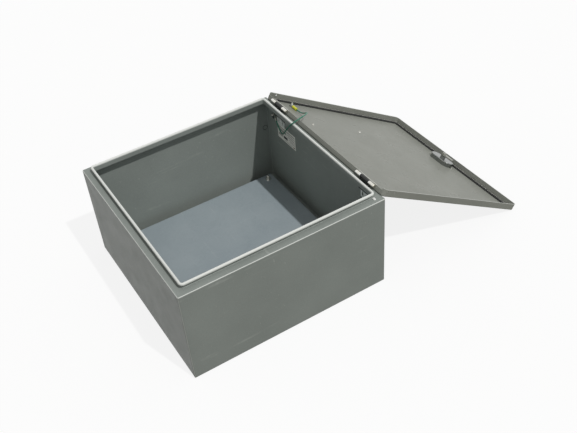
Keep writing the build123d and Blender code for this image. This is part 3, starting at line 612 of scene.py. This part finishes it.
def makeGasket():
    straight, corner, r = gasket["straightSteps"], gasket["cornerSteps"], gasket["cornerR"]
    ends = [Vector((sx * (gasket["outerX"] - r), sy * (gasket["outerY"] - r))) for sx, sy in quarters]
    path = []
    for quarter, start in enumerate(ends):
        end = ends[(quarter + 1) % 4]
        for i in range(corner + 1):
            path.append((start, math.pi / 2 * (quarter + i / corner)))
        for i in range(1, straight):
            path.append((start.lerp(end, i / straight), math.pi / 2 * (quarter + 1)))
    width, e = gasket["width"], gasket["edgeR"]
    face, back = gasket["face"], gasket["back"]
    profile = [(0.0, back), (-0.02, (face + back) / 2), (0.0, face + e)]
    profile += [(e - e * math.cos(a), face + e - e * math.sin(a)) for a in (0.4, 0.8, 1.2, math.pi / 2)]
    profile += [(width * t, face + gasket["crown"]) for t in (0.3, 0.5, 0.7)]
    profile += [(width - e + e * math.sin(a), face + e - e * math.cos(a)) for a in (0.0, 0.4, 0.8, 1.2)]
    profile += [(width, face + e), (width + 0.02, (face + back) / 2), (width, back)]
    vertices, faces = [], []
    count, ring = len(path), len(profile)
    joint = int(count * gasket["jointAt"])
    for i, (centre, angle) in enumerate(path):
        dx, dy = math.cos(angle), math.sin(angle)
        drift = gasket["waver"] * noise.noise(Vector((centre.x * 0.013 + dx, centre.y * 0.013 + dy, 0.3)))
        pinch = 0.35 if i == joint else 0.0
        for j, (inward, z) in enumerate(profile):
            x, y = stripPoint(centre, (dx, dy), inward)
            loose = 1.0 if z < back - 0.1 else 0.0  # the glued back stays put
            ripple = 0.1 * noise.noise(Vector((centre.x, centre.y, j)) * 0.05)
            vertices.append((x + dx * (drift * loose - 0.3), y + dy * (drift * loose - 0.3),
                             z + loose * (pinch + ripple)))
    for i in range(count):
        here, there = i * ring, (i + 1) % count * ring
        for j in range(ring):
            k = (j + 1) % ring
            faces.append((here + j, here + k, there + k, there + j))
    piece = meshPiece("door_gasket_foam", vertices, faces, foam, place=doorTurn)
    finishPiece(piece, "door", "gasket_rubber", "door_gasket", smooth=40)


def makeGasketGlint():
    # painted highlight: a thin strip of white film along the foam's outer edge, a pale line beside the flange
    # where light catches the gasket
    steps = gasket["cornerSteps"]
    loops = []
    for inset in (gasket["glintSet"], gasket["glintSet"] + gasket["glintWidth"]):
        half, r = gasket["outerX"] - inset, gasket["cornerR"] - inset
        loop = []
        for quarter, (sx, sy) in enumerate(quarters):
            for i in range(steps + 1):
                a = math.pi / 2 * (quarter + i / steps)
                loop.append((sx * (half - r) + r * math.cos(a), sy * (half - r) + r * math.sin(a)))
        loops.append(loop)
    n = len(loops[0])
    level = gasket["face"] - gasket["glintSink"]
    vertices = [(x, y, z) for z in (level, level + gasket["glintThick"]) for loop in loops for x, y in loop]
    outerLow, innerLow, outerHigh, innerHigh = 0, n, 2 * n, 3 * n
    faces = []
    for i in range(n):
        k = (i + 1) % n
        faces += [(outerLow + i, innerLow + i, innerLow + k, outerLow + k),
                  (outerHigh + i, outerHigh + k, innerHigh + k, innerHigh + i),
                  (outerLow + i, outerLow + k, outerHigh + k, outerHigh + i),
                  (innerLow + i, innerHigh + i, innerHigh + k, innerLow + k)]
    piece = meshPiece("door_gasket_glint_strip", vertices, faces, labelFilm, place=doorTurn)
    finishPiece(piece, "door", "label_film")


makeGasket()
makeGasketGlint()
print("gasket laid")


# label: a printed film in plain fields, no lettering; mm

label = {
    "x": 303.1, "lowY": 142.0, "lowZ": 192.0, "width": 102.0, "height": 52.0, "thickness": 0.3,
    "cornerR": 2.0, "cornerSteps": 6, "ink": 0.05,
    "fields": [  # y, z, width and height within the label, and which ink
        (4, 42, 94, 4, 1), (4, 34, 40, 3, 1), (52, 30, 40, 8, 1), (4, 27, 40, 1.5, 2), (4, 20, 34, 2, 1),
        (4, 14, 30, 2, 1), (46, 12, 22, 9, 2), (74, 12, 22, 9, 1), (4, 4, 9, 4, 3), (20, 4, 44, 2, 1),
    ],
}


def makeLabel():
    lowY, lowZ, wide, tall = label["lowY"], label["lowZ"], label["width"], label["height"]
    r, steps = label["cornerR"], label["cornerSteps"]
    back, face = label["x"], label["x"] - label["thickness"]
    outline = []
    for quarter, (cy, cz) in enumerate(((wide - r, tall - r), (r, tall - r), (r, r), (wide - r, r))):
        for i in range(steps + 1):
            a = math.pi / 2 * (quarter + i / steps)
            outline.append((lowY + cy + r * math.cos(a), lowZ + cz + r * math.sin(a)))
    n = len(outline)
    vertices = [(x, y, z) for x in (back, face) for y, z in outline]
    faces = [tuple(range(n)), tuple(reversed(range(n, 2 * n)))]
    faces += [(i, (i + 1) % n, n + (i + 1) % n, n + i) for i in range(n)]
    inks = [0] * len(faces)
    for y, z, w, h, ink in label["fields"]:
        low, left, base = lowZ + z, lowY + y, len(vertices)
        corners = ((left, low), (left + w, low), (left + w, low + h), (left, low + h))
        vertices += [(x, *corner) for x in (face, face - label["ink"]) for corner in corners]
        faces += [(base + 7, base + 6, base + 5, base + 4)]
        faces += [(base + i, base + (i + 1) % 4, base + 4 + (i + 1) % 4, base + 4 + i) for i in range(4)]
        inks += [ink] * 5
    piece = meshPiece("wall_label_printed", [tuple(c * mm for c in v) for v in vertices], faces,
                      labelFilm, labelGrey, labelDark, labelRed)
    for polygon, ink in zip(piece.data.polygons, inks):
        polygon.material_index = ink
    finishPiece(piece, "cabinet", "label_film", "wall_label")


makeLabel()
print("label made")


# latch: a die cast wing knob in the cup, and cross recessed screws in the bezel; mm, on the shut door

latch = {
    "x": -246.0, "y": 0.0,
    "knobSeat": 314.3, "knobHeight": 12.0, "knobLength": 34.0, "knobWidth": 9.0, "discR": 8.0, "disc": 2.0,
    "knobSections": 17, "knobSides": 20, "discSides": 40,
    "screwTop": 331.1, "screwPitch": 102.0, "headR": 3.6, "head": 2.2, "shankR": 2.0, "shank": 9.0,
    "recess": 0.8, "recessHalf": 0.5, "recessReach": 2.0, "headRings": 12, "headSides": 48,
}


def makeKnob():
    # a waisted wing, drawn in at its top and its ends, on a round seat
    around, sections = latch["knobSides"], latch["knobSections"]
    half = latch["knobLength"] / 2
    vertices, faces = [], []
    for i in range(sections):
        t = -1 + 2 * i / (sections - 1)
        end = max(0.0, 1 - abs(t) ** 5)
        wide = latch["knobWidth"] / 2 * (0.62 + 0.38 * t * t) * (0.35 + 0.65 * end ** 0.5)
        low, high = 0.3, latch["knobHeight"] * (0.82 + 0.18 * (1 - t * t)) * (0.8 + 0.2 * end ** 0.5)
        for k in range(around):
            a = 2 * math.pi * k / around
            c, s = math.cos(a), math.sin(a)
            x = wide * math.copysign(abs(c) ** 0.55, c) * (1 - 0.22 * max(0.0, s))
            z = (low + high) / 2 + (high - low) / 2 * math.copysign(abs(s) ** 0.55, s)
            vertices.append((x, t * half * 0.995, z))
    for i in range(sections - 1):
        for k in range(around):
            n = (k + 1) % around
            faces.append((i * around + k, i * around + n, (i + 1) * around + n, (i + 1) * around + k))
    faces.append(tuple(reversed(range(around))))
    faces.append(tuple(range((sections - 1) * around, sections * around)))
    r, h = latch["discR"], latch["disc"]
    disc = ringStack([(0.0, r - 0.3), (0.3, r), (h - 0.6, r), (h - 0.15, r - 0.35), (h + 0.25, r - 1.4),
                      (h + 0.9, 4.4), (h + 2.2, 3.6)], latch["discSides"])
    place = doorTurn @ standing((latch["x"], latch["y"], latch["knobSeat"]), (0, 0, 1))
    piece = meshPiece("latch_wing_knob", *gather([(vertices, faces), disc]), chrome, place=place)
    finishPiece(piece, "latch", "chrome_zinc", "latch_handle", smooth=38)


def makeScrews():
    # pan heads with a cross recess pressed in
    parts = []
    rings, headR, head, shankR = latch["headRings"], latch["headR"], latch["head"], latch["shankR"]
    for side in (-1, 1):
        rows = [(-latch["shank"], shankR - 0.1), (0.4 - latch["shank"], shankR), (0.0, shankR),
                (0.0, headR - 0.15), (0.25, headR)]
        for i in range(rings):
            t = 1 - (i + 1) / (rings + 1)
            rows.append((head * (0.45 + 0.55 * math.sqrt(max(0.0, 1 - t ** 2.6))), headR * t))
        vertices, faces = ringStack(rows, latch["headSides"])
        turn = 0.4 + side * 0.3
        sunk = []
        for x, y, z in vertices:
            u = abs(x * math.cos(turn) + y * math.sin(turn))
            v = abs(-x * math.sin(turn) + y * math.cos(turn))
            if z > head * 0.4 and min(u, v) < latch["recessHalf"] and max(u, v) < latch["recessReach"]:
                z -= latch["recess"] * (1 - max(u, v) / (1.2 * latch["recessReach"]))
            sunk.append((x, y, z))
        place = standing((latch["x"], side * latch["screwPitch"] / 2, latch["screwTop"]), (0, 0, 1))
        parts.append(placed((sunk, faces), doorTurn @ place))
    piece = meshPiece("latch_screws_cross", *gather(parts), zinc)
    finishPiece(piece, "door", "zinc_steel", "latch_screws", smooth=34)


makeKnob()
makeScrews()
print("latch knob and screws made")


# small marks on the sheet work, mm

marks = {
    "ring": {"place": (290.0, 303.05, 196.0), "r": 8.0, "thick": 0.6},  # on the wall across from the top
    "plug": {"place": (303.1, 266.0, 250.0), "r": 4.2},  # in the hinge wall
    "welds": [(224.2, 130.6), (18.9, 136.3)], "weldZ": 326.2,
    "flare": [  # height and radius
        (0.0, 3.1), (0.18, 2.9), (0.5, 2.35), (0.9, 2.08), (2.7, 2.05), (2.98, 1.8), (3.0, 1.2),
    ],
    "sides": 32,
}


def torusRing(r, thick, sides=40, around=10):
    rows = []
    for j in range(around):
        a = 2 * math.pi * j / around
        rows.append((thick * math.sin(a), r + thick * math.cos(a)))
    return ringStack(rows, sides, closed=True)


def makeMarks():
    # a thin dark ring on the wall
    ring = marks["ring"]
    place = standing(ring["place"], (0, -1, 0))
    piece = meshPiece("wall_ring_mark", *torusRing(ring["r"], ring["thick"]), blackCoat, place=place)
    finishPiece(piece, "cabinet", "black_steel", smooth=60)
    # a rubber plug in a spare hole
    place, r = standing(marks["plug"]["place"], (-1, 0, 0)), marks["plug"]["r"]
    rows = [(0.0, r), (0.5, r + 0.2), (1.1, r), (1.5, r * 0.8), (1.6, r * 0.5), (1.3, r * 0.35)]
    piece = meshPiece("wall_hole_plug", *ringStack(rows, marks["sides"]), foam, place=place)
    finishPiece(piece, "cabinet", "gasket_rubber", smooth=50)
    # weld flare round the foot of each stud on the door
    spots = [doorTurn @ standing((x, y, marks["weldZ"]), (0, 0, -1)) for x, y in marks["welds"]]
    parts = [placed(ringStack(marks["flare"], marks["sides"]), spot) for spot in spots]
    piece = meshPiece("door_weld_studs_flared", *gather(parts), zinc)
    finishPiece(piece, "door", "zinc_steel", "door_weld_studs", smooth=34)


makeMarks()
print("marks made")


# floor and light

lights = {
    "sky": 0.40,
    "seenSky": 1.0,  # what the camera and gloss see
    "sunStrength": 1.68,
    "sunElevation": 57,
    "sunAzimuth": -73,  # degrees from +X, towards -Y where it is below zero
    "sunAngle": 1.2,
    "floorHalf": 14.0,  # metres
    "floorShown": "#FDFDFC",
    "floorGlow": 0.85,  # how much of the floor's white is its own
    "floorBounce": "#6E6D64",
}


def shownRays(holder):
    # 1 for the rays that show a surface as it is: the camera's, and those in gloss and glass
    seen = addNode(holder, "LightPath").outputs
    direct = addNode(holder, "Math", {0: seen["Is Camera Ray"], 1: seen["Is Glossy Ray"]}, operation="MAXIMUM")
    return addNode(holder, "Math", {0: direct, 1: seen["Is Transmission Ray"]}, operation="MAXIMUM")


def makeFloor():
    half = lights["floorHalf"]
    floor = meshPiece("floor", [(-half, -half, 0), (half, -half, 0), (half, half, 0), (-half, half, 0)],
                      [(0, 1, 2, 3)])
    material, shader = newMaterial("paleFloor")
    shown = shownRays(material)
    colour = addNode(material, "Mix", {"Factor": shown}, data_type="RGBA",
                     in_6=linear(lights["floorBounce"]), in_7=linear(lights["floorShown"]))
    join(material, colour.outputs[2], shader.inputs["Base Color"])
    shader.inputs["Roughness"].default_value = 0.9
    shader.inputs["Specular IOR Level"].default_value = 0.0
    glow = addNode(material, "Emission", in_Color=(1, 1, 1, 1), in_Strength=1.0)
    share = addNode(material, "Math", {0: shown}, operation="MULTIPLY", in_1=lights["floorGlow"])
    both = addNode(material, "MixShader", {0: share, 1: shader, 2: glow})
    join(material, both, material.node_tree.nodes["Material Output"].inputs["Surface"])
    floor.data.materials.append(material)


def makeLight():
    world = bpy.data.worlds.new("studio")
    bpy.context.scene.world = world
    world.use_nodes = True
    level = addNode(world, "MapRange", {"Value": shownRays(world)}, in_3=lights["sky"], in_4=lights["seenSky"])
    background = world.node_tree.nodes["Background"]
    background.inputs["Color"].default_value = (1, 1, 1, 1)
    join(world, level, background.inputs["Strength"])
    sun = bpy.data.lights.new("sun", "SUN")
    sun.energy = lights["sunStrength"]
    sun.angle = math.radians(lights["sunAngle"])
    lamp = bpy.data.objects.new("sun", sun)
    bpy.context.scene.collection.objects.link(lamp)
    up, around = math.radians(lights["sunElevation"]), math.radians(lights["sunAzimuth"])
    towards = Vector((math.cos(up) * math.cos(around), math.cos(up) * math.sin(around), math.sin(up)))
    lamp.rotation_euler = towards.to_track_quat("Z", "Y").to_euler()


makeFloor()
makeLight()
bpy.context.scene.view_settings.view_transform = "Standard"
print("floor and light made")
